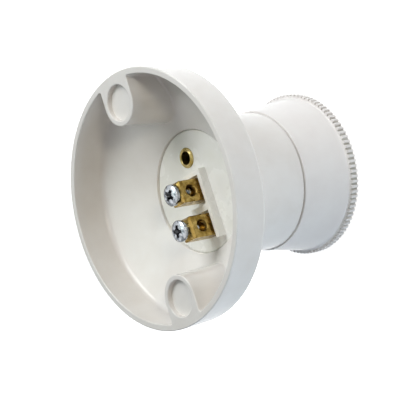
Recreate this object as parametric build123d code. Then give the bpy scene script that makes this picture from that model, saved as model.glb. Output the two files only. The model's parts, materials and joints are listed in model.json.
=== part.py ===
from build123d import *

import math
import os

# Ceiling lamp holder: a moulded cup that is screwed to the ceiling, with a terminal carrier in its
# neck, a rolled screw shell for the lamp and a knurled screw ring round the mouth.
# Millimetres. Z = 0 is the ceiling plane and +Z points up into the ceiling, so the lamp screws in
# from below. The two fixing bosses lie on the X axis. A depth is a distance below the ceiling.

# How far a cutting tool runs past a face, and how far off a plane an edge still counts as on it
overrun = 1.0
plane_margin = 0.001

# Turned pieces start a quarter turn away from the bosses, so that their seam crosses no boss
seam_aside = Rot(0, 0, 90)

# Cup and dome of the housing
rim_radius = 45.0
rim_width = 2.3
wall_height = 12.8
wall_draft = 0.8
wall_thickness = 2.2
floor_foot_depth = 12.0
floor_foot_rounding = 2.4
floor_end_depth = 21.0
floor_end_margin = 0.5
dome_depth = 24.0
shoulder_rounding = 1.8
dome_foot_rounding = 2.5
edge_rounding = 0.4

# Neck, threaded nose and the sleeve that shields the lamp shell
total_depth = 71.1
ring_height = 21.6
ring_gap = 0.3
neck_radius = 24.5
neck_wall = 2.9
neck_depth = total_depth - ring_height - ring_gap
bore_radius = neck_radius - neck_wall
nose_step = 1.8
nose_wall = 2.2
nose_lead = 0.8
mouth_to_nose = 6.6
nose_radius = neck_radius - nose_step
nose_depth = total_depth - mouth_to_nose
socket_depth = 30.1
seat_depth = total_depth - socket_depth
web_thickness = 2.0
sleeve_wall = 1.6
sleeve_setback = 0.5
sleeve_depth = nose_depth - sleeve_setback
groove_rounding = 0.6

# Fixing bosses with their knock-out membranes
fixing_spacing = 70.0
boss_radius = 8.0
boss_draft_angle = 3.0
boss_foot_rounding = 0.8
recess_radius = 6.25
recess_depth = 1.8
membrane_thickness = 1.2
well_radius = 5.4

# Screw ring
ring_thread_clearance = 0.3
ring_start_step = 0.5
ring_flare = 2.7
ring_wall = 1.9
ring_lip_thickness = 2.0
ring_start_radius = neck_radius + ring_start_step
ring_end_radius = ring_start_radius + ring_flare
mouth_radius = 18.5
mouth_rounding = 0.8
band_height = 3.1
band_step = 1.4
band_radius = ring_end_radius + band_step
band_depth = total_depth - band_height
band_chamfer = 0.35
rib_count = 100
rib_height = 0.55
rib_flank_share = 0.22
rib_crest_share = 0.34

# Terminal carrier
carrier_clearance = 0.15
disc_drop = 0.9
disc_depth = floor_end_depth + disc_drop
disc_thickness = 3.0
disc_rounding = 0.4
skirt_wall = 1.9
tower_radius = 8.0
key_width = 2.4
key_height = 0.8
key_length = 9.0
key_clearance = 0.15
key_root = 0.4
barrier_height = 3.0
long_barrier_start = -6.4
long_barrier_end = 18.2
long_barrier_y = 6.4
long_barrier_width = 1.7
cross_barrier_start = -3.0
end_barrier_x = -5.4
end_barrier_width = 1.6
partition_x = 6.9
partition_width = 2.2

# Terminal blocks and their screws
live_x = 0.2
neutral_x = 12.85
terminal_y = 1.4
block_width = 7.8
block_length = 6.4
block_height = 11.5
block_chamfer = 0.35
block_top_chamfer = 0.8
wire_hole_radius = 2.1
wire_hole_height = 6.6
tapped_depth = 7.9
screw_shank_radius = 1.95
screw_clearance = 0.08
screw_shank_length = 7.2
screw_tip_chamfer = 0.5
screw_head_radius = 3.75
screw_head_edge = 1.0
screw_head_height = 1.9
screw_recess_width = 0.9
screw_recess_span = 4.4
screw_recess_depth = 1.2
screw_recess_taper = 12.0
live_screw_lift = 0.8
neutral_screw_lift = 2.1
live_screw_turn = 20.0
neutral_screw_turn = 65.0
tail_radius = 1.9
tail_head_radius = 2.8
tail_head_height = 0.7

# Eyelet
eyelet_x = -12.4
eyelet_y = -0.3
eyelet_hole_radius = 2.35
eyelet_wall = 0.35
eyelet_flange_radius = 3.6
eyelet_flange_height = 0.7
eyelet_roll_rounding = 0.3
fit_clearance = 0.05

# Bridge strap under the disc, which carries the lamp shell
strap_thickness = 0.8
strap_width = 8.0
strap_to_skirt = 1.75
strap_reach = bore_radius - carrier_clearance - skirt_wall - strap_to_skirt
strap_bend = 1.2
strap_to_seat = 2.0
strap_seat_depth = seat_depth - strap_to_seat
strap_foot_margin = 0.8
strap_plate_radius = 12.2
tower_clearance = 0.3
tower_past_strap = 2.0
tower_depth = strap_seat_depth + tower_past_strap

# Lamp shell with its rolled thread
sheet_thickness = 0.4
thread_root_radius = 13.35
thread_crest_radius = 12.3
thread_pitch = 3.63
thread_turns = 5
thread_flat_share = 0.3
thread_flank_share = 0.2
shell_plain_length = 3.6
collar_length = 2.8
collar_flare = 0.45
shell_corner = 1.0
shell_hole_margin = 0.8
sleeve_clearance = 1.45
thread_start_depth = strap_seat_depth + shell_plain_length
thread_end_depth = thread_start_depth + thread_turns * thread_pitch
shell_depth = thread_end_depth + collar_length
sleeve_radius = thread_root_radius + sheet_thickness + sleeve_clearance

# Rivets of the shell
rivet_offset = 10.3
rivet_radius = 1.0
rivet_head_radius = 1.5
rivet_head_height = 0.7

# Live post and centre contact
post_x = 0.0
post_y = 0.65
post_radius = 1.6
post_spigot = 2.0
post_head_radius = 2.3
post_head_height = 0.6
contact_width = 4.6
contact_thickness = 0.4
contact_bend = 0.8
contact_reach = 5.4
contact_tail = 3.6
contact_gap = 2.2
contact_rise = 1.4
contact_tip_drop = 1.1


def turned(corners):
    """Revolve an outline about Z. A corner is radius, height and, where it is round, its rounding."""
    points = [corner[:2] for corner in corners]
    roundings = [corner[2] if len(corner) > 2 else 0 for corner in corners]
    outline = FilletPolyline(*points, radius=roundings, close=True)
    return revolve(Plane.XZ * make_face(outline), Axis.Z)


def rod(x, y, top, bottom, radius):
    """Upright round bar between two heights."""
    return Pos(x, y, bottom) * extrude(Circle(radius), top - bottom)


def block(x_start, x_end, y_start, y_end, top, bottom):
    """Upright rectangular block between its limits."""
    plan = Rectangle(x_end - x_start, y_end - y_start, align=(Align.MIN, Align.MIN))
    return Pos(x_start, y_start, bottom) * extrude(plan, top - bottom)


def strip(points, bends, thickness, width, y_centre=0.0):
    """Sheet strip folded along a path in the XZ plane."""
    path = FilletPolyline(*points, radius=bends)
    section = Plane.XZ * trace(path, line_width=thickness)
    return Pos(0, y_centre + width / 2, 0) * extrude(section, width)


def cup_outside():
    """Solid inside the outer surface of the cup and its dome, which trims the bosses."""
    return seam_aside * turned([
        (0, 0),
        (rim_radius, 0),
        (rim_radius - wall_draft, -wall_height, shoulder_rounding),
        (neck_radius, -dome_depth),
        (0, -dome_depth),
    ])


def housing_shell():
    """Cup, dome, neck, threaded nose, web and sleeve, turned about one axis, the rim still sharp."""
    foot_radius = rim_radius - wall_draft - wall_thickness
    web_bottom = seat_depth + web_thickness
    return seam_aside * turned([
        (rim_radius, 0),
        (rim_radius - wall_draft, -wall_height, shoulder_rounding),
        (neck_radius, -dome_depth, dome_foot_rounding),
        (neck_radius, -neck_depth, edge_rounding),
        (nose_radius, -neck_depth),
        (nose_radius, -nose_depth, nose_lead),
        (nose_radius - nose_wall, -nose_depth),
        (nose_radius - nose_wall, -web_bottom, groove_rounding),
        (sleeve_radius + sleeve_wall, -web_bottom, groove_rounding),
        (sleeve_radius + sleeve_wall, -sleeve_depth, edge_rounding),
        (sleeve_radius, -sleeve_depth, edge_rounding),
        (sleeve_radius, -seat_depth),
        (bore_radius, -seat_depth),
        (bore_radius, -floor_end_depth, edge_rounding),
        (bore_radius + floor_end_margin, -floor_end_depth, edge_rounding),
        (foot_radius, -floor_foot_depth, floor_foot_rounding),
        (rim_radius - rim_width, 0),
    ])


def boss():
    """Drafted U-shaped boss on the +X side, from the rim down into the dome, with its recess."""
    centre = fixing_spacing / 2
    reach = rim_radius - centre
    plan = Circle(boss_radius) + Pos(reach / 2, 0) * Rectangle(reach, 2 * boss_radius)
    column = extrude(Pos(centre, 0) * plan, -dome_depth, taper=-boss_draft_angle) & cup_outside()
    return column - rod(centre, 0, overrun, -recess_depth, recess_radius)


def well():
    """Hollow of a boss on the room side, which leaves the knock-out membrane over it."""
    return rod(fixing_spacing / 2, 0, -recess_depth - membrane_thickness, -dome_depth - overrun, well_radius)


def carrier_key(clearance):
    """Key on the wall of the neck that stops the carrier from turning."""
    inner = bore_radius - key_height - clearance
    half_width = key_width / 2 + clearance
    top = -seat_depth + key_length + clearance
    return block(inner, bore_radius + key_root, -half_width, half_width, top, -seat_depth)


def is_boss_foot(edge):
    """Whether an edge runs where a boss meets the floor inside the cup, from which the fillet runs on."""
    middle = edge @ 0.5
    spans = [math.hypot(p.X, p.Y) for p in (edge @ 0, middle, edge @ 1)]
    in_cup = min(spans) > bore_radius + 2 * floor_end_margin and max(spans) < rim_radius - rim_width
    near_boss = abs(middle.Y) < boss_radius + rim_width
    below_recess = -floor_end_depth < middle.Z < -recess_depth - edge_rounding
    on_seam = abs(abs(middle.X) - fixing_spacing / 2) < plane_margin
    return in_cup and near_boss and below_recess and not on_seam


def base_housing():
    """White moulding that is screwed to the ceiling."""
    half_turn = Rot(0, 0, 180)
    housing = housing_shell() + boss() + half_turn * boss()
    housing = fillet([edge for edge in housing.edges() if is_boss_foot(edge)], boss_foot_rounding)
    housing = fillet(housing.edges().filter_by_position(Axis.Z, -plane_margin, plane_margin), edge_rounding)
    return housing - well() - half_turn * well() + carrier_key(0)


def knurled_band():
    """Ribbed band round the mouth, its outline a closed row of ribs and valleys."""
    step = 2 * math.pi / rib_count
    valley_radius = band_radius - rib_height
    corners = (
        (0, valley_radius),
        (rib_flank_share, band_radius),
        (rib_flank_share + rib_crest_share, band_radius),
        (2 * rib_flank_share + rib_crest_share, valley_radius),
    )
    outline = []
    for rib in range(rib_count):
        for share, radius in corners:
            angle = (rib + share) * step
            outline.append((radius * math.cos(angle), radius * math.sin(angle)))
    ribs = extrude(make_face(Polyline(*outline, close=True)), total_depth - band_depth)
    envelope = turned([
        (0, -band_depth),
        (band_radius - band_chamfer, -band_depth),
        (band_radius, -band_depth - band_chamfer),
        (band_radius, -total_depth + band_chamfer),
        (band_radius - band_chamfer, -total_depth),
        (0, -total_depth),
    ])
    return Pos(0, 0, -total_depth) * ribs & envelope


def ring_hollow():
    """Inside of the ring: thread bore, relief behind the lip and the mouth."""
    bore = nose_radius + ring_thread_clearance
    relief_radius = ring_end_radius - ring_wall
    relief_depth = total_depth - ring_lip_thickness
    relief_start = relief_depth - (ring_end_radius - ring_start_radius) - ring_lip_thickness
    return turned([
        (0, -neck_depth + ring_gap),
        (bore, -neck_depth + ring_gap),
        (bore, -relief_start),
        (relief_radius, -relief_depth + ring_lip_thickness / 2),
        (relief_radius, -relief_depth),
        (mouth_radius, -relief_depth),
        (mouth_radius, -total_depth - ring_gap),
        (0, -total_depth - ring_gap),
    ])


def screw_ring():
    """Knurled ring that screws on the nose."""
    skirt = turned([
        (0, -neck_depth - ring_gap),
        (ring_start_radius, -neck_depth - ring_gap, edge_rounding),
        (ring_end_radius, -band_depth),
        (ring_end_radius, -total_depth, mouth_rounding),
        (0, -total_depth),
    ])
    return skirt + knurled_band() - ring_hollow()


def barriers():
    """Low walls on the disc that keep the two terminals apart."""
    top = -disc_depth + barrier_height
    long_start = long_barrier_y - long_barrier_width / 2
    long_end = long_barrier_y + long_barrier_width / 2
    walls = block(long_barrier_start, long_barrier_end, long_start, long_end, top, -disc_depth)
    for x, width in ((end_barrier_x, end_barrier_width), (partition_x, partition_width)):
        walls += block(x - width / 2, x + width / 2, cross_barrier_start, long_end, top, -disc_depth)
    return walls


def terminal_carrier():
    """Ivory moulding in the neck: disc, barriers, skirt down to its seat, and the centre tower."""
    radius = bore_radius - carrier_clearance
    disc_bottom = disc_depth + disc_thickness
    carrier = turned([
        (0, -disc_depth),
        (radius, -disc_depth, disc_rounding),
        (radius, -seat_depth),
        (radius - skirt_wall, -seat_depth),
        (radius - skirt_wall, -disc_bottom, disc_rounding),
        (tower_radius, -disc_bottom, disc_rounding),
        (tower_radius, -tower_depth, disc_rounding),
        (0, -tower_depth),
    ])
    carrier += barriers()
    carrier -= carrier_key(key_clearance)
    eyelet_hole = eyelet_hole_radius + eyelet_wall + fit_clearance
    carrier -= rod(eyelet_x, eyelet_y, -disc_depth, -disc_bottom, eyelet_hole)
    carrier -= rod(neutral_x, terminal_y, -disc_depth, -disc_bottom, tail_radius + fit_clearance)
    return carrier - rod(post_x, post_y, -disc_depth, -tower_depth, post_radius + fit_clearance)


def terminal_block(x):
    """Brass block with a cross hole for the wire and a tapped hole for its screw."""
    top = -disc_depth + block_height
    body = block(x - block_width / 2, x + block_width / 2, terminal_y - block_length / 2,
                 terminal_y + block_length / 2, top, -disc_depth)
    body = chamfer(body.faces().sort_by(Axis.Z)[-1].edges(), block_top_chamfer)
    body = chamfer(body.edges().filter_by(Axis.Z), block_chamfer)
    wire_axis = Pos(x, terminal_y, -disc_depth + wire_hole_height) * Rot(90, 0, 0)
    body -= wire_axis * Cylinder(wire_hole_radius, 2 * block_length)
    return body - rod(x, terminal_y, top, top - tapped_depth, screw_shank_radius + screw_clearance)


def live_terminal_block():
    """Block over the centre of the carrier, with a blind hole below for the live post."""
    spigot_hole = rod(post_x, post_y, -disc_depth + post_spigot + fit_clearance, -disc_depth,
                      post_radius + fit_clearance)
    return terminal_block(live_x) - spigot_hole


def neutral_terminal_block():
    """Block whose tail goes through the disc and is riveted over the bridge strap."""
    strap_bottom = -disc_depth - disc_thickness - strap_thickness
    tail = rod(neutral_x, terminal_y, -disc_depth, strap_bottom, tail_radius)
    head = rod(neutral_x, terminal_y, strap_bottom, strap_bottom - tail_head_height, tail_head_radius)
    return terminal_block(neutral_x) + tail + head


def screw_recess():
    """Tapered cross recess, cut down from the height zero."""
    arm = Rectangle(screw_recess_span, screw_recess_width)
    return extrude(arm + Rot(0, 0, 90) * arm, -screw_recess_depth, taper=screw_recess_taper)


def terminal_screw(x, lift, turn):
    """Pan head screw standing in its block, with the head's seat a lift above the block's top."""
    seat = block_height + lift
    crown_rise = screw_head_height - screw_head_edge
    crown_radius = (screw_head_radius ** 2 + crown_rise ** 2) / (2 * crown_rise)
    half_angle = math.asin(screw_head_radius / crown_radius) / 2
    crown = ThreePointArc(
        (0, screw_head_height),
        (crown_radius * math.sin(half_angle), screw_head_height - crown_radius * (1 - math.cos(half_angle))),
        (screw_head_radius, screw_head_edge),
    )
    sides = Polyline(
        (screw_head_radius, screw_head_edge),
        (screw_head_radius, 0),
        (screw_shank_radius, 0),
        (screw_shank_radius, -screw_shank_length + screw_tip_chamfer),
        (screw_shank_radius - screw_tip_chamfer, -screw_shank_length),
        (0, -screw_shank_length),
        (0, screw_head_height),
    )
    screw = revolve(Plane.XZ * make_face(crown + sides), Axis.Z)
    screw -= Pos(0, 0, screw_head_height) * Rot(0, 0, turn) * screw_recess()
    return Pos(x, terminal_y, -disc_depth + seat) * screw


def eyelet_rivet():
    """Hollow rivet through the disc and the strap, with a rolled flange at each end."""
    barrel = eyelet_hole_radius + eyelet_wall
    bottom = -disc_depth - disc_thickness - strap_thickness
    eyelet = turned([
        (eyelet_hole_radius, -disc_depth + eyelet_flange_height, eyelet_roll_rounding),
        (eyelet_flange_radius, -disc_depth + eyelet_flange_height, eyelet_roll_rounding),
        (eyelet_flange_radius, -disc_depth),
        (barrel, -disc_depth),
        (barrel, bottom),
        (eyelet_flange_radius, bottom),
        (eyelet_flange_radius, bottom - eyelet_flange_height, eyelet_roll_rounding),
        (eyelet_hole_radius, bottom - eyelet_flange_height, eyelet_roll_rounding),
    ])
    return Pos(eyelet_x, eyelet_y, 0) * eyelet


def shell_bridge():
    """Folded brass strap: two feet under the disc, two legs, and a plate that holds the shell."""
    foot_depth = disc_depth + disc_thickness + strap_thickness / 2
    plate_depth = strap_seat_depth - strap_thickness / 2
    foot_start = tower_radius + strap_foot_margin
    path = [
        (foot_start, -foot_depth),
        (strap_reach, -foot_depth),
        (strap_reach, -plate_depth),
        (-strap_reach, -plate_depth),
        (-strap_reach, -foot_depth),
        (-foot_start, -foot_depth),
    ]
    bridge = strip(path, [strap_bend] * 4, strap_thickness, strap_width)
    bridge += rod(0, 0, -strap_seat_depth + strap_thickness, -strap_seat_depth, strap_plate_radius)
    bridge -= rod(0, 0, -strap_seat_depth + strap_thickness, -strap_seat_depth,
                  tower_radius + tower_clearance)
    foot_top = -disc_depth - disc_thickness
    foot_bottom = foot_top - strap_thickness
    eyelet_hole = eyelet_hole_radius + eyelet_wall + fit_clearance
    bridge -= rod(eyelet_x, eyelet_y, foot_top, foot_bottom, eyelet_hole)
    bridge -= rod(neutral_x, terminal_y, foot_top, foot_bottom, tail_radius + fit_clearance)
    for side in (-1, 1):
        bridge -= rod(0, side * rivet_offset, -strap_seat_depth + strap_thickness, -strap_seat_depth,
                      rivet_radius + fit_clearance)
    return bridge


def shell_side(offset):
    """Side of the shell from its closed to its open end: plain, the rolled thread, then a wider collar."""
    plain = (thread_root_radius + thread_crest_radius) / 2 + offset
    levels = (thread_root_radius + offset, thread_crest_radius + offset)
    flat = thread_flat_share * thread_pitch
    flank = thread_flank_share * thread_pitch
    depth = thread_start_depth
    side = [(plain, -depth)]
    for half_turn in range(2 * thread_turns):
        radius = levels[half_turn % 2]
        side += [(radius, -depth - flank), (radius, -depth - flank - flat)]
        depth += flank + flat
    side.append((thread_root_radius + collar_flare + offset, -depth - flank))
    return side


def lamp_shell():
    """Rolled brass shell with a flat bottom, its thread drawn as rings of the true pitch."""
    top = -strap_seat_depth
    hole = tower_radius + shell_hole_margin
    inside = shell_side(0)
    outside = shell_side(sheet_thickness)
    shell = turned([
        (hole, top),
        (outside[0][0], top, shell_corner + sheet_thickness),
        *outside,
        (outside[-1][0], -shell_depth),
        (inside[-1][0], -shell_depth),
        *reversed(inside),
        (inside[0][0], top - sheet_thickness, shell_corner),
        (hole, top - sheet_thickness),
    ])
    for side in (-1, 1):
        shell -= rod(0, side * rivet_offset, top, top - sheet_thickness, rivet_radius + fit_clearance)
    return shell


def shell_rivet(side):
    """Solid rivet that joins the bottom of the shell to the plate of the bridge."""
    plate_top = -strap_seat_depth + strap_thickness
    shell_bottom = -strap_seat_depth - sheet_thickness
    rivet = turned([
        (0, plate_top + rivet_head_height),
        (rivet_head_radius, plate_top + rivet_head_height, rivet_head_height / 2),
        (rivet_head_radius, plate_top),
        (rivet_radius, plate_top),
        (rivet_radius, shell_bottom),
        (rivet_head_radius, shell_bottom),
        (rivet_head_radius, shell_bottom - rivet_head_height, rivet_head_height / 2),
        (0, shell_bottom - rivet_head_height),
    ])
    return Pos(0, side * rivet_offset, 0) * rivet


def live_post():
    """Round brass post from the live block down the tower, riveted over the contact."""
    contact_bottom = -tower_depth - contact_thickness
    post = rod(post_x, post_y, -disc_depth + post_spigot, contact_bottom, post_radius)
    return post + rod(post_x, post_y, contact_bottom, contact_bottom - post_head_height, post_head_radius)


def centre_contact():
    """Sprung leaf folded back on itself, so that its crown stands over the middle of the shell."""
    base_depth = tower_depth + contact_thickness / 2
    path = [
        (-contact_tail, -base_depth),
        (contact_reach, -base_depth),
        (contact_reach, -base_depth - contact_gap),
        (0, -base_depth - contact_gap - contact_rise),
        (-contact_tail, -base_depth - contact_gap - contact_rise + contact_tip_drop),
    ]
    leaf = strip(path, [contact_bend] * 3, contact_thickness, contact_width, post_y)
    return leaf - rod(post_x, post_y, -tower_depth, -tower_depth - contact_thickness,
                      post_radius + fit_clearance)


def sub_parts():
    """Every piece of the holder by its name."""
    return {
        "base_housing": base_housing(),
        "screw_ring": screw_ring(),
        "terminal_carrier": terminal_carrier(),
        "live_terminal_block": live_terminal_block(),
        "neutral_terminal_block": neutral_terminal_block(),
        "live_terminal_screw": terminal_screw(live_x, live_screw_lift, live_screw_turn),
        "neutral_terminal_screw": terminal_screw(neutral_x, neutral_screw_lift, neutral_screw_turn),
        "eyelet_rivet": eyelet_rivet(),
        "shell_bridge": shell_bridge(),
        "lamp_shell": lamp_shell(),
        "shell_rivet_left": shell_rivet(-1),
        "shell_rivet_right": shell_rivet(1),
        "live_post": live_post(),
        "centre_contact": centre_contact(),
    }


os.makedirs("parts", exist_ok=True)
for name, part in sub_parts().items():
    export_step(part, f"parts/{name}.step")
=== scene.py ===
"""Looks of a ceiling lamp holder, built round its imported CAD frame.

The holder hangs from the ceiling plane Z = 0 with +Z up, and the camera looks down into its back,
where the terminals are. Sizes are in metres.
"""

import json
import logging
import math
from collections.abc import Callable, Iterator, Sequence
from contextlib import contextmanager
from dataclasses import dataclass, field
from enum import Enum

import bpy
from mathutils import Matrix, Vector

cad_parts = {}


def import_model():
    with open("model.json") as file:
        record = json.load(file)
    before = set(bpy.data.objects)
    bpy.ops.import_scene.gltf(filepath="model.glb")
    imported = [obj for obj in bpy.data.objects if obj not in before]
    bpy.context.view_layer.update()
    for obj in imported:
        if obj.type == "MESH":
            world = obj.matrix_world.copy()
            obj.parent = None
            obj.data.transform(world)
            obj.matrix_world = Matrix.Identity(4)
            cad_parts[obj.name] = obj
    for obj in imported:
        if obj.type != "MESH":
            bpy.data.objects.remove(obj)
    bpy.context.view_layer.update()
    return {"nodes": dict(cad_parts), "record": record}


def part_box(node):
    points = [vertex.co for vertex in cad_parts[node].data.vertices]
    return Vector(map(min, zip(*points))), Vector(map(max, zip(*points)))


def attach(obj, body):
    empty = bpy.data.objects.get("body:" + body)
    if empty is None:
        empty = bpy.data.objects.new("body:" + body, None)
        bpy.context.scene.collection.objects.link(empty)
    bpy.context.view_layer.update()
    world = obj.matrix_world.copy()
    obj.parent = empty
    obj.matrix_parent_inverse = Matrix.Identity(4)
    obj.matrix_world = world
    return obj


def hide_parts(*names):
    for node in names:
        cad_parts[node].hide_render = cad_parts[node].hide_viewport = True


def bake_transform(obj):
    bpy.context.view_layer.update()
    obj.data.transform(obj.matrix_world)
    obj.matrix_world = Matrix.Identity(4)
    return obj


log = logging.getLogger("lamp_holder")

MM = 0.001
WHITE = (1.0, 1.0, 1.0, 1.0)

# Points on each rounded corner, least distance between points, and the angle that counts as sharp
ARC_STEPS = 4
MERGE_MM = 0.002
SHARP_DEG = 32.0

# A face looks one way, and an edge runs one way, when this much of its direction lies that way
FACING = 0.5
UPRIGHT = 0.9

# Between these values a noise texture spends most of its range
NOISE_LOW = 0.3
NOISE_HIGH = 0.7

# How deep a thread ridge is sunk into its wall, and half its width at foot and crest as a share of the pitch
RIDGE_SINK_MM = 0.12
RIDGE_FOOT_SHARE = 0.4
RIDGE_CREST_SHARE = 0.12


class Body(Enum):
    """Moving bodies of the holder."""

    HOUSING = "housing"
    RING = "ring"
    LIVE_SCREW = "live_screw"
    NEUTRAL_SCREW = "neutral_screw"
    CONTACT = "contact"


def linear(code: str) -> tuple[float, float, float, float]:
    """Turn an sRGB hex colour into the linear colour that a shader takes.

    Args:
        code: Colour as six hex digits.

    Returns:
        Red, green, blue and an alpha of one.
    """
    parts = [int(code[i : i + 2], 16) / 255 for i in (0, 2, 4)]
    red, green, blue = (c / 12.92 if c <= 0.04045 else ((c + 0.055) / 1.055) ** 2.4 for c in parts)
    return red, green, blue, 1.0


def add_node(
    tree: bpy.types.NodeTree,
    kind: str,
    settings: dict[str, object] | None = None,
    links: dict[str | int, tuple[bpy.types.Node, str | int]] | None = None,
) -> bpy.types.Node:
    """Add a node with its settings and links.

    Args:
        tree: Node tree that takes the node.
        kind: Node type.
        settings: Socket values by socket name, or node properties by a name that starts with a dot.
        links: For each of the node's inputs, the node and output that feed it.

    Returns:
        The new node.
    """
    node = tree.nodes.new(kind)
    for name, value in (settings or {}).items():
        if name.startswith("."):
            setattr(node, name[1:], value)
        else:
            node.inputs[name].default_value = value
    for name, (source, output) in (links or {}).items():
        tree.links.new(source.outputs[output], node.inputs[name])
    return node


def new_material(name: str) -> tuple[bpy.types.Material, bpy.types.NodeTree]:
    """Start a node material with nothing in it.

    Args:
        name: Name of the real material.

    Returns:
        The material and its empty node tree.
    """
    material = bpy.data.materials.new(name)
    material.use_nodes = True
    material.node_tree.nodes.clear()
    return material, material.node_tree


def deselect() -> None:
    """Leave nothing selected."""
    bpy.ops.object.select_all(action="DESELECT")


@contextmanager
def editing(piece: bpy.types.Object) -> Iterator[None]:
    """Work on one piece in edit mode.

    Args:
        piece: The piece, which stays selected and active.
    """
    deselect()
    piece.select_set(True)
    bpy.context.view_layer.objects.active = piece
    bpy.ops.object.mode_set(mode="EDIT")
    yield
    bpy.ops.object.mode_set(mode="OBJECT")


def pick(piece: bpy.types.Object, mode: str, chosen: Callable[[object], bool]) -> None:
    """Select vertices, edges or faces by their place.

    Args:
        piece: The piece, in object mode.
        mode: VERT, EDGE or FACE.
        chosen: Tells whether an element is wanted.
    """
    with editing(piece):
        bpy.ops.mesh.select_mode(type=mode)
        bpy.ops.mesh.select_all(action="DESELECT")
    mesh = piece.data
    for element in {"VERT": mesh.vertices, "EDGE": mesh.edges, "FACE": mesh.polygons}[mode]:
        element.select = chosen(element)


def rounded(corners: Sequence[tuple[float, ...]], closed: bool) -> list[tuple[float, float]]:
    """Replace each corner that has a rounding by the points of its arc.

    Args:
        corners: Two coordinates, and a rounding radius where the corner is round.
        closed: Whether the last corner joins the first.

    Returns:
        The points of the outline.
    """
    points: list[tuple[float, float]] = []
    for index, corner in enumerate(corners):
        here = Vector(corner[:2])
        at_end = not closed and index in (0, len(corners) - 1)
        if len(corner) == 2 or at_end:
            points.append(tuple(here))
            continue
        before = (Vector(corners[index - 1][:2]) - here).normalized()
        after = (Vector(corners[(index + 1) % len(corners)][:2]) - here).normalized()
        half = before.angle(after) / 2
        centre = here + (before + after).normalized() * corner[2] / math.sin(half)
        reach = corner[2] / math.tan(half)
        first, last = here + before * reach - centre, here + after * reach - centre
        for step in range(ARC_STEPS + 1):
            spoke = first.lerp(last, step / ARC_STEPS).normalized()
            points.append(tuple(centre + spoke * corner[2]))
    return points


def traced(name: str, points: Sequence[Vector], closed: bool) -> bpy.types.Object:
    """Trace a line of edges by extruding one vertex from point to point.

    Args:
        name: Name of the new object.
        points: The points, in millimetres.
        closed: Whether an edge joins the last point to the first.

    Returns:
        The line as a mesh object.
    """
    deselect()
    bpy.ops.mesh.primitive_plane_add(size=MM)
    piece = bpy.context.object
    piece.name = name
    with editing(piece):
        bpy.ops.mesh.select_mode(type="VERT")
        bpy.ops.mesh.select_all(action="SELECT")
        bpy.ops.mesh.merge(type="CENTER")
        bpy.ops.transform.translate(value=points[0] * MM)
        for before, after in zip(points, points[1:]):
            bpy.ops.mesh.extrude_region_move(TRANSFORM_OT_translate={"value": (after - before) * MM})
    if closed:
        ends = (points[0] * MM, points[-1] * MM)
        pick(piece, "VERT", lambda vertex: min((vertex.co - end).length for end in ends) < MERGE_MM * MM)
        with editing(piece):
            bpy.ops.mesh.edge_face_add()
    return piece


def close_up(piece: bpy.types.Object) -> None:
    """Merge what coincides, fill open ends and point the faces outwards.

    Args:
        piece: The piece to close.
    """
    with editing(piece):
        bpy.ops.mesh.select_all(action="SELECT")
        bpy.ops.mesh.remove_doubles(threshold=MERGE_MM * MM)
        bpy.ops.mesh.fill_holes(sides=0)
        bpy.ops.mesh.normals_make_consistent(inside=False)


def turned(
    name: str,
    corners: Sequence[tuple[float, ...]],
    steps: int = 64,
    centre: tuple[float, float] = (0.0, 0.0),
    closed: bool = True,
) -> bpy.types.Object:
    """Spin an outline about an upright axis.

    Args:
        name: Name of the new object.
        corners: Radius, height and, where the corner is round, its rounding, in millimetres.
        steps: Number of facets round the axis.
        centre: Where the axis stands.
        closed: Whether the outline is closed.

    Returns:
        The turned piece.
    """
    points = [Vector((centre[0] + radius, centre[1], height)) for radius, height in rounded(corners, closed)]
    piece = traced(name, points, closed)
    with editing(piece):
        bpy.ops.mesh.select_all(action="SELECT")
        bpy.ops.mesh.spin(steps=steps, angle=math.tau, center=(centre[0] * MM, centre[1] * MM, 0),
                          axis=(0, 0, 1))
        bpy.ops.mesh.select_all(action="SELECT")
        bpy.ops.mesh.remove_doubles(threshold=MERGE_MM * MM)
        bpy.ops.mesh.normals_make_consistent(inside=False)
    return piece


def apply(piece: bpy.types.Object, kind: str, **settings: object) -> None:
    """Add a modifier and apply it.

    Args:
        piece: The piece that takes it.
        kind: Kind of modifier.
        **settings: Its properties.
    """
    deselect()
    piece.select_set(True)
    bpy.context.view_layer.objects.active = piece
    modifier = piece.modifiers.new(kind.lower(), kind)
    for key, value in settings.items():
        setattr(modifier, key, value)
    bpy.ops.object.modifier_apply(modifier=modifier.name)


def cut(piece: bpy.types.Object, tool: bpy.types.Object) -> None:
    """Cut a tool's shape out of a piece and clear the tool away.

    Args:
        piece: The piece to cut.
        tool: The shape that goes.
    """
    apply(piece, "BOOLEAN", operation="DIFFERENCE", solver="EXACT", object=tool, material_mode="TRANSFER")
    bpy.data.objects.remove(tool)


def soften(piece: bpy.types.Object, width_mm: float) -> None:
    """Round off the sharp edges a little.

    Args:
        piece: The piece.
        width_mm: Width of the rounding.
    """
    apply(piece, "BEVEL", width=width_mm * MM, segments=2, limit_method="ANGLE",
          angle_limit=math.radians(SHARP_DEG), use_clamp_overlap=True)


def smooth(piece: bpy.types.Object) -> None:
    """Shade a piece smooth but for its sharp edges.

    Args:
        piece: The piece.
    """
    deselect()
    piece.select_set(True)
    bpy.context.view_layer.objects.active = piece
    bpy.ops.object.shade_smooth_by_angle(angle=math.radians(SHARP_DEG))


def joined(pieces: Sequence[bpy.types.Object]) -> bpy.types.Object:
    """Join pieces into the first of them.

    Args:
        pieces: The pieces.

    Returns:
        The first piece with all the meshes.
    """
    deselect()
    for piece in pieces:
        piece.select_set(True)
    bpy.context.view_layer.objects.active = pieces[0]
    bpy.ops.object.join()
    return pieces[0]


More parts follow.
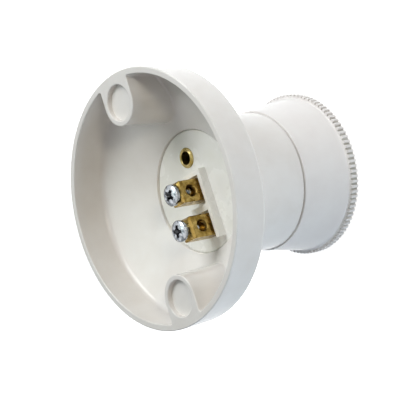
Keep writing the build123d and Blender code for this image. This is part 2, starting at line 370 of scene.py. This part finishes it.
def helical_ridge(
    name: str,
    foot_radius: float,
    crest_radius: float,
    pitch: float,
    turns: int,
    top: float,
    centre: tuple[float, float] = (0.0, 0.0),
    steps: int = 96,
) -> bpy.types.Object:
    """Right-handed thread ridge, its foot sunk into the wall that carries it.

    Args:
        name: Name of the new object.
        foot_radius: Radius of the wall.
        crest_radius: Radius of the crest, below the foot's on an inside thread.
        pitch: Rise for each turn.
        turns: Number of turns.
        top: Height of the ridge's upper end.
        centre: Where the axis stands.
        steps: Facets for each turn.

    Returns:
        The closed ridge.
    """
    sunk = foot_radius - math.copysign(RIDGE_SINK_MM, crest_radius - foot_radius)
    foot, crest = RIDGE_FOOT_SHARE * pitch, RIDGE_CREST_SHARE * pitch
    section = ((sunk, foot), (crest_radius, crest), (crest_radius, -crest), (sunk, -foot))
    piece = traced(name, [Vector((radius, 0, height)) for radius, height in section], closed=True)
    apply(piece, "SCREW", axis="Z", angle=-math.tau, screw_offset=-pitch * MM, iterations=turns, steps=steps,
          render_steps=steps, use_merge_vertices=False)
    close_up(piece)
    with editing(piece):
        bpy.ops.mesh.select_all(action="SELECT")
        bpy.ops.transform.translate(value=(centre[0] * MM, centre[1] * MM, (top - foot) * MM))
    return piece


def node_box(node: str) -> tuple[Vector, Vector]:
    """Give a CAD node's box in millimetres.

    Args:
        node: Name of the node.

    Returns:
        The lowest and the highest corner.
    """
    low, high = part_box(node)
    return low / MM, high / MM


@dataclass(frozen=True)
class MouldedPlastic:
    """Glossy moulding: a clean pale colour, and a skin with a faint waviness in its reflections."""

    name: str
    colour: str
    shade: str
    roughness: float = 0.2
    duller_by: float = 0.04
    glossier_by: float = 0.03
    ior: float = 1.52
    cloud_mm: float = 9.0
    cloud_range: tuple[float, float] = (0.35, 0.65)
    waviness_mm: float = 1.6
    waviness_height_mm: float = 0.0045

    def make(self) -> bpy.types.Material:
        """Build the material.

        Returns:
            The finished material.
        """
        material, tree = new_material(self.name)
        place = add_node(tree, "ShaderNodeTexCoord")
        cloud = add_node(tree, "ShaderNodeTexNoise", {
            "Scale": 1 / (self.cloud_mm * MM), "Detail": 3.0, "Roughness": 0.55,
        }, {"Vector": (place, "Object")})
        tint = add_node(tree, "ShaderNodeValToRGB", links={"Fac": (cloud, "Fac")})
        for stop, at, colour in zip(tint.color_ramp.elements, self.cloud_range, (self.shade, self.colour)):
            stop.position = at
            stop.color = linear(colour)
        gloss = add_node(tree, "ShaderNodeMapRange", {
            "From Min": NOISE_LOW, "From Max": NOISE_HIGH,
            "To Min": self.roughness - self.glossier_by, "To Max": self.roughness + self.duller_by,
        }, {"Value": (cloud, "Fac")})
        skin = add_node(tree, "ShaderNodeTexNoise", {"Scale": 1 / (self.waviness_mm * MM), "Detail": 1.0},
                        {"Vector": (place, "Object")})
        bump = add_node(tree, "ShaderNodeBump", {"Strength": 1.0, "Distance": self.waviness_height_mm * MM},
                        {"Height": (skin, "Fac")})
        surface = add_node(tree, "ShaderNodeBsdfPrincipled", {"IOR": self.ior}, {
            "Base Color": (tint, "Color"), "Roughness": (gloss, "Result"), "Normal": (bump, "Normal"),
        })
        add_node(tree, "ShaderNodeOutputMaterial", links={"Surface": (surface, "BSDF")})
        return material


@dataclass(frozen=True)
class WorkedMetal:
    """Bare or plated metal: fine tool lines one way, a dull film in patches, and worn bright spots."""

    name: str
    colour: str
    film: str
    roughness: float = 0.28
    duller_by: float = 0.1
    glossier_by: float = 0.06
    film_middle: float = 0.45
    film_fade: tuple[float, float] = (-0.12, 0.16)
    line_mm: float = 0.12
    stretch: tuple[float, float, float] = (1.0, 1.0, 0.06)
    line_height_mm: float = 0.0025
    film_mm: float = 2.2

    def make(self) -> bpy.types.Material:
        """Build the material.

        Returns:
            The finished material.
        """
        material, tree = new_material(self.name)
        place = add_node(tree, "ShaderNodeTexCoord")
        film = add_node(tree, "ShaderNodeTexNoise", {"Scale": 1 / (self.film_mm * MM), "Detail": 4.0},
                        {"Vector": (place, "Object")})
        tint = add_node(tree, "ShaderNodeValToRGB", links={"Fac": (film, "Fac")})
        for stop, shift, colour in zip(tint.color_ramp.elements, self.film_fade, (self.colour, self.film)):
            stop.position = self.film_middle + shift
            stop.color = linear(colour)
        along = add_node(tree, "ShaderNodeMapping", {"Scale": self.stretch}, {"Vector": (place, "Object")})
        lines = add_node(tree, "ShaderNodeTexNoise", {"Scale": 1 / (self.line_mm * MM), "Detail": 2.0},
                         {"Vector": (along, "Vector")})
        gloss = add_node(tree, "ShaderNodeMapRange", {
            "From Min": NOISE_LOW, "From Max": NOISE_HIGH,
            "To Min": self.roughness - self.glossier_by, "To Max": self.roughness + self.duller_by,
        }, {"Value": (film, "Fac")})
        bump = add_node(tree, "ShaderNodeBump", {"Strength": 1.0, "Distance": self.line_height_mm * MM},
                        {"Height": (lines, "Fac")})
        surface = add_node(tree, "ShaderNodeBsdfPrincipled", {"Metallic": 1.0}, {
            "Base Color": (tint, "Color"), "Roughness": (gloss, "Result"), "Normal": (bump, "Normal"),
        })
        add_node(tree, "ShaderNodeOutputMaterial", links={"Surface": (surface, "BSDF")})
        return material


@dataclass(frozen=True)
class Finishes:
    """Every finish of the holder, by the record's material slot."""

    slots: dict[str, MouldedPlastic | WorkedMetal] = field(default_factory=lambda: {
        # Urea moulding, hard and polished by its mould: bright white with soft, clear reflections
        "housing_plastic": MouldedPlastic("white_urea_moulding", "EEEBE8", "EAE6E2"),
        # The same moulding for the ring, a shade brighter
        "ring_plastic": MouldedPlastic("white_urea_ring_moulding", "F0EDEB", "ECE8E6"),
        # Painted shade between the ribs of the ring: a darker grey on the valley faces, which draws each
        # rib's edge
        "ring_valley_shade": MouldedPlastic("painted_valley_shade", "C2C1BA", "B6B5AD", roughness=0.5),
        # Ivory with a touch of yellow and a softer gloss, which sets the carrier off from the housing
        "carrier_plastic": MouldedPlastic("ivory_urea_moulding", "FAF8F3", "F6F4EC", roughness=0.26),
        # Sawn and drilled brass bar, tarnished to a dull brown gold
        "terminal_brass": WorkedMetal("machined_brass", "CDB06A", "8E7236", roughness=0.27,
                                      line_mm=0.2, line_height_mm=0.005),
        # Drawn brass, paler and smoother than the sawn bar, with a thin dull film
        "eyelet_brass": WorkedMetal("drawn_brass", "BDAA74", "8A7A46", roughness=0.3),
        # Brass strip pressed and folded, plain gold with brown handling marks
        "strap_brass": WorkedMetal("pressed_brass_strip", "C29D52", "9A7A3C", roughness=0.27),
        # Brass sheet drawn into a tube, the shiniest gold, with fine lines along the draw
        "shell_brass": WorkedMetal("rolled_brass_sheet", "C8A458", "A78445", roughness=0.24),
        # Painted shade in the recess of the screws: a dark grey metal that stands in for the shade inside it
        "screw_recess": WorkedMetal("worn_screw_recess", "6E7074", "1C1D1F", roughness=0.3, film_mm=1.2),
        # Zinc plated steel, cold silver with grey patches and a skin as lumpy as barrel plating leaves it
        "zinc_plated_steel": WorkedMetal("bright_zinc_plate", "D0D4D9", "70767C", roughness=0.18,
                                         film_middle=0.48, film_mm=1.1, line_mm=0.6, line_height_mm=0.03,
                                         stretch=(1.0, 1.0, 1.0)),
    })

    def make(self) -> dict[str, bpy.types.Material]:
        """Build every finish.

        Returns:
            The materials by slot.
        """
        return {slot: finish.make() for slot, finish in self.slots.items()}


@dataclass(frozen=True)
class SoftLamp:
    """Square soft box that faces the holder, placed as seen from the camera."""

    name: str
    rightward: float
    upward: float
    nearer: float
    power: float
    colour: str
    distance: float = 0.8
    size: float = 0.5


@dataclass
class Studio:
    """Camera, lamps, floor and surroundings."""

    eye: Vector = field(default_factory=lambda: Vector((0.09256, 0.42128, 0.33079)))
    right: Vector = field(default_factory=lambda: Vector((0.29921, 0.57421, -0.76207)))
    up: Vector = field(default_factory=lambda: Vector((-0.94053, 0.31214, -0.13408)))
    middle: Vector = field(default_factory=lambda: Vector((0, 0, -0.03)))
    lens_mm: float = 145.3
    sensor_mm: float = 36.0
    nearest: float = 0.01
    floor_height: float = -0.0925
    floor_size: float = 4.0
    floor_colour: str = "E0E0E0"
    floor_glow: float = 0.86
    ambient: float = 0.09
    ambient_colour: str = "FFF4FA"
    shift: tuple[float, float] = (-0.00125, -0.00125)
    lamps: tuple[SoftLamp, ...] = (
        SoftLamp("upper_lamp", 0.28, 1.0, 0.46, 1.33, "ECF4FF", size=0.12),
        SoftLamp("upper_left_box", -0.8, 0.7, 0.5, 4.4, "FBFEFF"),
        SoftLamp("left_box", -1.0, 0.0, 0.4, 0.95, "E7FFF8"),
        SoftLamp("front_lamp", 0.2, 0.3, 1.0, 0.98, "FFF5DC", size=0.12),
        SoftLamp("lower_right_box", 0.7, -0.7, 0.3, 8.6, "D6ECFF"),
    )

    def add_camera(self) -> None:
        """Add the camera at the photograph's viewpoint."""
        data = bpy.data.cameras.new("camera")
        data.sensor_width = self.sensor_mm
        data.lens = self.lens_mm
        data.shift_x, data.shift_y = self.shift
        data.clip_start = self.nearest
        camera = bpy.data.objects.new("camera", data)
        back = self.right.cross(self.up)
        turn = Matrix((self.right, self.up, back)).transposed()
        camera.matrix_world = Matrix.Translation(self.eye) @ turn.to_4x4()
        bpy.context.collection.objects.link(camera)
        bpy.context.scene.camera = camera

    def add_lamp(self, lamp: SoftLamp) -> None:
        """Add a soft box.

        Args:
            lamp: Where the box stands and how it shines.
        """
        data = bpy.data.lights.new(lamp.name, "AREA")
        data.size = lamp.size
        data.energy = lamp.power
        data.color = linear(lamp.colour)[:3]
        back = self.right.cross(self.up)
        spot = (lamp.rightward * self.right + lamp.upward * self.up + lamp.nearer * back).normalized()
        box = bpy.data.objects.new(lamp.name, data)
        box.location = spot * lamp.distance
        box.rotation_euler = (self.middle - box.location).to_track_quat("-Z", "Y").to_euler()
        bpy.context.collection.objects.link(box)

    def looked_at(self, tree: bpy.types.NodeTree) -> bpy.types.Node:
        """Tell the rays that see the background, straight, in a reflection or through glass, from the rest.

        Args:
            tree: Node tree that takes the nodes.

        Returns:
            A node whose value is one for such rays.
        """
        path = add_node(tree, "ShaderNodeLightPath")
        straight = add_node(tree, "ShaderNodeMath", {".operation": "MAXIMUM"}, {
            0: (path, "Is Camera Ray"), 1: (path, "Is Glossy Ray"),
        })
        return add_node(tree, "ShaderNodeMath", {".operation": "MAXIMUM"}, {
            0: (straight, "Value"), 1: (path, "Is Transmission Ray"),
        })

    def add_floor(self) -> None:
        """Add the floor under the hanging holder: white to the camera, with the holder's soft shadow."""
        bpy.ops.mesh.primitive_plane_add(size=self.floor_size, location=(0, 0, self.floor_height))
        floor = bpy.context.object
        floor.name = "floor"
        material, tree = new_material("studio_floor")
        matt = add_node(tree, "ShaderNodeBsdfDiffuse", {"Color": linear(self.floor_colour)})
        glow = add_node(tree, "ShaderNodeEmission", {"Color": WHITE, "Strength": self.floor_glow})
        both = add_node(tree, "ShaderNodeAddShader", links={0: (matt, "BSDF"), 1: (glow, "Emission")})
        seen = add_node(tree, "ShaderNodeMixShader", links={
            0: (self.looked_at(tree), "Value"), 1: (matt, "BSDF"), 2: (both, "Shader"),
        })
        # From below, the floor lets the eye through, so that the mouth of the holder can be looked into
        side = add_node(tree, "ShaderNodeNewGeometry")
        clear = add_node(tree, "ShaderNodeBsdfTransparent")
        sheet = add_node(tree, "ShaderNodeMixShader", links={
            0: (side, "Backfacing"), 1: (seen, "Shader"), 2: (clear, "BSDF"),
        })
        add_node(tree, "ShaderNodeOutputMaterial", links={"Surface": (sheet, "Shader")})
        floor.data.materials.append(material)

    def add_surroundings(self) -> None:
        """Give the world a plain soft grey light that the camera sees as white."""
        world = bpy.data.worlds.new("studio")
        bpy.context.scene.world = world
        world.use_nodes = True
        tree = world.node_tree
        tree.nodes.clear()
        soft = add_node(tree, "ShaderNodeBackground", {
            "Color": linear(self.ambient_colour), "Strength": self.ambient,
        })
        white = add_node(tree, "ShaderNodeBackground", {"Color": WHITE, "Strength": 1.0})
        seen = add_node(tree, "ShaderNodeMixShader", links={
            0: (self.looked_at(tree), "Value"), 1: (soft, "Background"), 2: (white, "Background"),
        })
        add_node(tree, "ShaderNodeOutputWorld", links={"Surface": (seen, "Shader")})

    def build(self) -> None:
        """Set up the whole studio."""
        bpy.context.scene.view_settings.view_transform = "Standard"
        self.add_camera()
        self.add_floor()
        self.add_surroundings()
        for lamp in self.lamps:
            self.add_lamp(lamp)
        log.info("studio ready")


@dataclass
class Fitting:
    """What every sub-assembly needs to dress its pieces."""

    materials: dict[str, bpy.types.Material]

    def fit(self, piece: bpy.types.Object, body: Body, slot: str, *nodes: str) -> None:
        """Dress a finished piece, let it ride on its body and hide the CAD nodes that it stands for.

        Args:
            piece: The finished piece.
            body: Body that carries it.
            slot: Record's material slot of its finish.
            *nodes: CAD nodes that it replaces.
        """
        if not piece.data.materials:
            piece.data.materials.append(self.materials[slot])
        smooth(piece)
        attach(piece, body.value)
        if nodes:
            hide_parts(*nodes)
        log.info("%s: %d faces, rides on %s", piece.name, len(piece.data.polygons), body.value)


@dataclass
class TerminalScrew(Fitting):
    """Cross recess pan head screw with its rolled thread. Sizes are in millimetres."""

    node: str = "live_terminal_screw"
    body: Body = Body.LIVE_SCREW
    turn_deg: float = 44.0
    head_height: float = 1.9
    head_radius: float = 3.75
    crown_radius: float = 2.7
    crown_drop: float = 0.22
    crown_rounding: float = 1.2
    edge_height: float = 1.15
    edge_rounding: float = 0.45
    under_rounding: float = 0.15
    core_radius: float = 1.6
    thread_radius: float = 1.94
    thread_pitch: float = 0.7
    plain_length: float = 0.9
    tip_chamfer: float = 0.5
    recess_span: float = 5.0
    recess_width: float = 1.45
    recess_depth: float = 1.55
    recess_taper: float = 0.45
    recess_core_radius: float = 1.35
    recess_steps: int = 24
    thread_steps: int = 32

    def recess_tools(self, x: float, y: float, top: float) -> list[bpy.types.Object]:
        """Make the two tapered wings and the cone of the recess.

        Args:
            x: X of the screw's axis.
            y: Y of the screw's axis.
            top: Height of the head's top.

        Returns:
            The shapes to cut out.
        """
        tools = []
        middle = Vector((x, y, top - self.recess_depth / 2)) * MM
        for quarter in (0, 90):
            deselect()
            bpy.ops.mesh.primitive_cube_add(
                size=MM, location=middle, rotation=(0, 0, math.radians(self.turn_deg + quarter)),
                scale=(self.recess_span, self.recess_width, self.recess_depth))
            wing = bpy.context.object
            pick(wing, "FACE", lambda face: face.normal.z < -FACING)
            with editing(wing):
                bpy.ops.transform.resize(value=(self.recess_taper, self.recess_taper, 1),
                                         center_override=middle)
            pick(wing, "FACE", lambda face: face.normal.z > FACING)
            with editing(wing):
                bpy.ops.transform.translate(value=(0, 0, self.crown_drop * MM))
            tools.append(wing)
        deselect()
        bpy.ops.mesh.primitive_cone_add(
            vertices=self.recess_steps, radius1=self.recess_core_radius * self.recess_taper * MM,
            radius2=self.recess_core_radius * MM, depth=self.recess_depth * MM, location=middle)
        tools.append(bpy.context.object)
        return tools

    def build(self) -> None:
        """Turn the screw, cut its recess and roll its thread."""
        low, high = node_box(self.node)
        x, y = (low.x + high.x) / 2, (low.y + high.y) / 2
        seat = high.z - self.head_height
        screw = turned(self.node.replace("terminal", "clamping"), [
            (0, high.z),
            (self.crown_radius, high.z - self.crown_drop, self.crown_rounding),
            (self.head_radius, seat + self.edge_height, self.edge_rounding),
            (self.head_radius, seat, self.under_rounding),
            (self.core_radius, seat),
            (self.core_radius, low.z + self.tip_chamfer),
            (self.core_radius - self.tip_chamfer, low.z),
            (0, low.z),
        ], centre=(x, y), closed=False)
        screw.data.materials.append(self.materials["zinc_plated_steel"])
        # The cut faces of the recess take a darker metal, painted shade inside the recess
        for tool in self.recess_tools(x, y, high.z):
            tool.data.materials.append(self.materials["screw_recess"])
            cut(screw, tool)
        length = seat - self.plain_length - low.z - self.tip_chamfer
        turns = int(length / self.thread_pitch - 2 * RIDGE_FOOT_SHARE)
        thread = helical_ridge("rolled_thread", self.core_radius, self.thread_radius, self.thread_pitch,
                               turns, seat - self.plain_length, (x, y), steps=self.thread_steps)
        thread.data.materials.append(self.materials["zinc_plated_steel"])
        self.fit(joined([screw, thread]), self.body, "zinc_plated_steel", self.node)


@dataclass
class TerminalBlock(Fitting):
    """Sawn brass block with a wire hole and a tapped hole, and a riveted tail if the tail has a radius.

    Sizes are in millimetres.
    """

    node: str = "live_terminal_block"
    tail_radius: float = 0.0
    tail_head_radius: float = 2.8
    tail_head_height: float = 0.7
    tail_head_rounding: float = 0.3
    tail_under_rounding: float = 0.2
    tail_sink: float = 0.1
    tail_steps: int = 32
    height: float = 11.5
    top_chamfer: float = 0.8
    side_chamfer: float = 0.35
    edge: float = 0.12
    wire_hole_radius: float = 2.1
    wire_hole_height: float = 6.6
    hole_flare: float = 0.22
    tapped_radius: float = 2.03
    tapped_depth: float = 7.9
    drill_overrun: float = 1.0
    drill_steps: int = 40

    def hole(self, radius: float, half_length: float, face: float) -> bpy.types.Object:
        """Make a drill that also breaks the edge of the hole at one or both faces.

        Args:
            radius: Radius of the hole.
            half_length: Half the drill's length.
            face: Distance of the drilled face from the drill's middle.

        Returns:
            The drill, upright in the origin.
        """
        wide = radius + self.hole_flare
        drill = turned("drill", [
            (0, half_length), (wide, half_length), (wide, face), (radius, face - self.hole_flare),
            (radius, -face + self.hole_flare), (wide, -face), (wide, -half_length), (0, -half_length),
        ], steps=self.drill_steps, closed=False)
        drill.data.materials.append(self.materials["terminal_brass"])
        return drill

    def build(self) -> None:
        """Shape the block, drill it and add its riveted tail."""
        low, high = node_box(self.node)
        x, y = (low.x + high.x) / 2, (low.y + high.y) / 2
        foot = high.z - self.height
        deselect()
        bpy.ops.mesh.primitive_cube_add(
            size=MM, location=Vector((x, y, foot + self.height / 2)) * MM,
            scale=(high.x - low.x, high.y - low.y, self.height))
        block = bpy.context.object
        block.name = self.node.replace("terminal_block", "sawn_block")
        block.data.materials.append(self.materials["terminal_brass"])
        bpy.ops.object.transform_apply(location=True, rotation=True, scale=True)
        pick(block, "FACE", lambda face: face.normal.z > FACING)
        with editing(block):
            bpy.ops.mesh.bevel(offset=self.top_chamfer * MM, segments=1, affect="EDGES")
        corners = block.data.vertices
        pick(block, "EDGE", lambda edge: abs(
            (corners[edge.vertices[0]].co - corners[edge.vertices[1]].co).normalized().z) > UPRIGHT)
        with editing(block):
            bpy.ops.mesh.bevel(offset=self.side_chamfer * MM, segments=1, affect="EDGES")
        half = (high.y - low.y) / 2
        drill = self.hole(self.wire_hole_radius, half + self.drill_overrun, half)
        drill.rotation_euler = (math.pi / 2, 0, 0)
        drill.location = Vector((x, y, foot + self.wire_hole_height)) * MM
        bpy.context.view_layer.update()
        cut(block, drill)
        tap = self.hole(self.tapped_radius, self.tapped_depth + self.drill_overrun, self.tapped_depth)
        tap.location = Vector((x, y, high.z)) * MM
        bpy.context.view_layer.update()
        cut(block, tap)
        soften(block, self.edge)
        if self.tail_radius:
            root, neck = foot + self.tail_sink, low.z + self.tail_head_height
            tail = turned("riveted_tail", [
                (0, root), (self.tail_radius, root), (self.tail_radius, neck),
                (self.tail_head_radius, neck, self.tail_under_rounding),
                (self.tail_head_radius, low.z, self.tail_head_rounding), (0, low.z),
            ], steps=self.tail_steps, centre=(x, y), closed=False)
            tail.data.materials.append(self.materials["terminal_brass"])
            block = joined([block, tail])
        self.fit(block, Body.HOUSING, "terminal_brass", self.node)


@dataclass
class Eyelet(Fitting):
    """Hollow brass rivet with rolled lips. Sizes are in millimetres."""

    bore_radius: float = 2.35
    barrel_radius: float = 2.7
    flange_radius: float = 3.6
    lip_height: float = 0.7
    trough_radius: float = 3.0
    trough_height: float = 0.42
    shoulder_width: float = 0.25
    shoulder_rise: float = 0.1
    rim_height: float = 0.2
    inner_rounding: float = 0.16
    outer_rounding: float = 0.14
    trough_rounding: float = 0.2
    shoulder_rounding: float = 0.15
    rim_rounding: float = 0.12
    steps: int = 56

    def lip(self, face: float, way: float) -> list[tuple[float, ...]]:
        """Outline of one lip from the bore outwards.

        Args:
            face: Height of the face that the lip is rolled against.
            way: 1 for the upper lip, -1 for the lower.

        Returns:
            Corners of the outline.
        """
        crest = face + way * self.lip_height
        shoulder = face + way * (self.trough_height + self.shoulder_rise)
        return [
            (self.bore_radius, crest, self.inner_rounding),
            (self.barrel_radius, crest, self.outer_rounding),
            (self.trough_radius, face + way * self.trough_height, self.trough_rounding),
            (self.flange_radius - self.shoulder_width, shoulder, self.shoulder_rounding),
            (self.flange_radius, face + way * self.rim_height, self.rim_rounding),
            (self.flange_radius, face),
            (self.barrel_radius, face),
        ]

    def build(self) -> None:
        """Turn the eyelet."""
        low, high = node_box("eyelet_rivet")
        upper = self.lip(high.z - self.lip_height, 1)
        lower = self.lip(low.z + self.lip_height, -1)
        eyelet = turned("rolled_eyelet", upper + lower[::-1], steps=self.steps,
                        centre=((low.x + high.x) / 2, (low.y + high.y) / 2))
        self.fit(eyelet, Body.HOUSING, "eyelet_brass", "eyelet_rivet")


@dataclass
class DiscSeam(Fitting):
    """Seam that fills the gap which the solids leave round the carrier's disc. Sizes are in millimetres."""

    clearance: float = 0.15
    overlap: float = 0.15
    disc_depth: float = 21.9
    drop: float = 0.45
    height: float = 1.0
    steps: int = 160

    def build(self) -> None:
        """Turn the seam and sink its sides into the disc and the bore."""
        radius = node_box("terminal_carrier")[1].x
        inside, outside = radius - self.overlap, radius + self.clearance + self.overlap
        top = -self.disc_depth - self.drop
        seam = turned("disc_seam", [
            (inside, top), (outside, top), (outside, top - self.height), (inside, top - self.height),
        ], steps=self.steps)
        self.fit(seam, Body.HOUSING, "carrier_plastic")


@dataclass
class LampShell(Fitting):
    """Brass shell for the lamp with its rolled helical thread. Sizes are in millimetres."""

    sheet: float = 0.4
    root_radius: float = 13.35
    crest_radius: float = 12.3
    collar_radius: float = 13.8
    pitch: float = 3.63
    hole_radius: float = 8.8
    corner: float = 1.2
    plain_top: float = 2.6
    collar_length: float = 2.3
    collar_rounding: float = 0.3
    fade_length: float = 1.6
    rows: int = 84
    steps: int = 120

    def roll(self, shell: bpy.types.Object, top: float, bottom: float) -> None:
        """Roll the thread into the plain wall between two heights.

        Args:
            shell: The turned shell.
            top: Height where the thread starts.
            bottom: Height where it has run out.
        """
        depth = (self.root_radius - self.crest_radius) / 2
        for vertex in shell.data.vertices:
            place = vertex.co / MM
            if bottom < place.z < top:
                fade = min(1.0, (top - place.z) / self.fade_length, (place.z - bottom) / self.fade_length)
                wave = math.cos(math.tau * place.z / self.pitch - math.atan2(place.y, place.x))
                radius = math.hypot(place.x, place.y)
                grown = (radius + fade * depth * wave) / radius
                vertex.co.x *= grown
                vertex.co.y *= grown

    def build(self) -> None:
        """Turn the shell, roll its thread and give the sheet its thickness."""
        low, high = node_box("lamp_shell")
        wall = (self.root_radius + self.crest_radius + self.sheet) / 2
        top, bottom = high.z - self.sheet / 2, low.z
        start, end = top - self.plain_top, bottom + self.collar_length
        corners: list[tuple[float, ...]] = [(self.hole_radius, top), (wall, top, self.corner)]
        corners += [(wall, start + (end - start) * row / self.rows) for row in range(self.rows + 1)]
        collar = self.collar_radius + self.sheet / 2
        corners += [(collar, end - (collar - wall), self.collar_rounding), (collar, bottom + self.sheet / 2)]
        shell = turned("rolled_shell", corners, steps=self.steps, closed=False)
        self.roll(shell, start, end)
        apply(shell, "SOLIDIFY", thickness=self.sheet * MM, offset=0)
        close_up(shell)
        self.fit(shell, Body.HOUSING, "shell_brass", "lamp_shell")


@dataclass
class ScrewRing(Fitting):
    """Knurled screw ring with its inside thread. Sizes are in millimetres."""

    start_radius: float = 25.0
    end_radius: float = 27.7
    bore_radius: float = 23.0
    relief_radius: float = 25.8
    relief_length: float = 3.7
    relief_rounding: float = 0.5
    relief_straight: float = 1.0
    lip_thickness: float = 2.0
    lip_rounding: float = 0.4
    mouth_radius: float = 18.5
    mouth_rounding: float = 0.8
    skirt_rounding: float = 0.6
    bore_rounding: float = 0.2
    edge: float = 0.3
    band_height: float = 3.1
    ledge_width: float = 0.35
    ledge_rounding: float = 0.2
    band_rounding: float = 0.5
    band_sink: float = 0.2
    band_lift: float = 0.05
    rib_count: int = 100
    rib_height: float = 0.72
    rib_taper: float = 0.16
    faces_per_rib: int = 3
    crest_faces: int = 2
    thread_height: float = 0.25
    thread_pitch: float = 3.0
    thread_turns: int = 3
    thread_start: float = 1.5
    steps: int = 160

    def band(self, top: float, bottom: float, radius: float) -> bpy.types.Object:
        """Press the ribs out of a plain band.

        Args:
            top: Height of the band's upper edge.
            bottom: Height of its lower edge.
            radius: Radius over the ribs.

        Returns:
            The band.
        """
        valley, inside = radius - self.rib_height, self.end_radius - self.band_sink
        faces = self.faces_per_rib * self.rib_count
        band = turned("knurled_band", [(inside, top), (valley, top), (valley, bottom), (inside, bottom)],
                      steps=faces)
        for slot in ("ring_plastic", "ring_valley_shade"):
            band.data.materials.append(self.materials[slot])

        def outer(face: bpy.types.MeshPolygon) -> bool:
            """Tell whether a face is in the band's outer wall."""
            return abs(face.normal.z) < FACING and math.hypot(*face.center.xy) > (valley + inside) / 2 * MM

        def on_rib(face: bpy.types.MeshPolygon) -> bool:
            """Tell whether a rib rises where this face of the outer wall is."""
            angle = math.atan2(face.center.y, face.center.x) + math.tau
            return int(angle / math.tau * faces) % self.faces_per_rib < self.crest_faces

        # The valley faces between the ribs take the second material, painted shade in the valleys
        pick(band, "FACE", lambda face: outer(face) and not on_rib(face))
        for face in band.data.polygons:
            face.material_index = int(face.select)
        pick(band, "FACE", lambda face: outer(face) and on_rib(face))
        with editing(band):
            bpy.ops.mesh.inset(thickness=self.rib_taper * MM, depth=self.rib_height * MM)
        return band

    def build(self) -> None:
        """Turn the ring, add its knurled band and thread."""
        low, high = node_box("screw_ring")
        band_top = low.z + self.band_height
        lip = low.z + self.lip_thickness
        ledge = self.end_radius + self.ledge_width
        relief_top = lip + self.relief_straight
        ring = turned("knurled_ring", [
            (self.bore_radius, high.z, self.bore_rounding),
            (self.start_radius, high.z, self.edge),
            (self.end_radius, band_top, self.skirt_rounding),
            (ledge, band_top, self.ledge_rounding),
            (ledge, low.z, self.band_rounding),
            (self.mouth_radius, low.z, self.mouth_rounding),
            (self.mouth_radius, lip, self.lip_rounding),
            (self.relief_radius, lip, self.relief_rounding),
            (self.relief_radius, relief_top, self.relief_rounding),
            (self.bore_radius, relief_top + self.relief_length),
        ], steps=self.steps)
        ring.data.materials.append(self.materials["ring_plastic"])
        band = self.band(band_top, low.z + self.band_lift, high.x)
        thread = helical_ridge("ring_thread", self.bore_radius, self.bore_radius - self.thread_height,
                               self.thread_pitch, self.thread_turns, high.z - self.thread_start)
        thread.data.materials.append(self.materials["ring_plastic"])
        self.fit(joined([ring, band, thread]), Body.RING, "ring_plastic", "screw_ring")


@dataclass
class NoseThread(Fitting):
    """Outside thread of the housing's nose. Sizes are in millimetres."""

    nose_radius: float = 22.7
    height: float = 0.25
    pitch: float = 3.0
    turns: int = 3
    from_ring_top: float = 3.0

    def build(self) -> None:
        """Lay the thread round the nose, half a pitch from the ring's."""
        ring_top = node_box("screw_ring")[1].z
        thread = helical_ridge("nose_thread", self.nose_radius, self.nose_radius + self.height, self.pitch,
                               self.turns, ring_top - self.from_ring_top)
        self.fit(thread, Body.HOUSING, "housing_plastic")


@dataclass
class ContactLeaf(Fitting):
    """Sprung leaf folded back on itself. Sizes are in millimetres."""

    thickness: float = 0.4
    bend: float = 0.8
    gap: float = 2.2
    rise: float = 1.4
    tip_drop: float = 1.1
    edge: float = 0.07

    def build(self) -> None:
        """Fold the strip."""
        low, high = node_box("centre_contact")
        base = high.z - self.thickness / 2
        fold = high.x - self.thickness / 2
        below = base - self.gap
        path = rounded([
            (low.x, base), (fold, base, self.bend), (fold, below, self.bend),
            (0, below - self.rise, self.bend), (low.x, below - self.rise + self.tip_drop),
        ], closed=False)
        leaf = traced("contact_leaf", [Vector((x, low.y, z)) for x, z in path], closed=False)
        with editing(leaf):
            bpy.ops.mesh.select_all(action="SELECT")
            bpy.ops.mesh.extrude_region_move(
                TRANSFORM_OT_translate={"value": (0, (high.y - low.y) * MM, 0)})
        apply(leaf, "SOLIDIFY", thickness=self.thickness * MM, offset=0)
        close_up(leaf)
        soften(leaf, self.edge)
        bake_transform(leaf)
        self.fit_blended(leaf)

    def fit_blended(self, leaf: bpy.types.Object) -> None:
        """Dress the leaf, which rides on no body.

        Args:
            leaf: The finished leaf.
        """
        leaf.data.materials.append(self.materials["strap_brass"])
        smooth(leaf)
        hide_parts("centre_contact")
        log.info("%s: bends between housing and contact", leaf.name)


def dress_nodes(frame: dict, materials: dict[str, bpy.types.Material]) -> None:
    """Give every CAD node its finish.

    Args:
        materials: The finishes by slot.
    """
    for part in frame["record"]["subparts"]:
        node = frame["nodes"][part["node"]]
        for place in node.material_slots:
            place.material = materials[part["material_slot"]]
        log.info("dressed %s", part["node"])


def main() -> None:
    """Build the looks of the holder in order."""
    logging.basicConfig(level=logging.INFO, format="%(name)s: %(message)s")
    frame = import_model()
    materials = Finishes().make()
    dress_nodes(frame, materials)
    for assembly in (
        TerminalBlock(materials),
        TerminalBlock(materials, node="neutral_terminal_block", tail_radius=1.9),
        TerminalScrew(materials),
        TerminalScrew(materials, node="neutral_terminal_screw", body=Body.NEUTRAL_SCREW, turn_deg=75.0),
        Eyelet(materials),
        DiscSeam(materials),
        LampShell(materials),
        ScrewRing(materials),
        NoseThread(materials),
        ContactLeaf(materials),
    ):
        assembly.build()
    Studio().build()


if __name__ == "__main__":
    main()
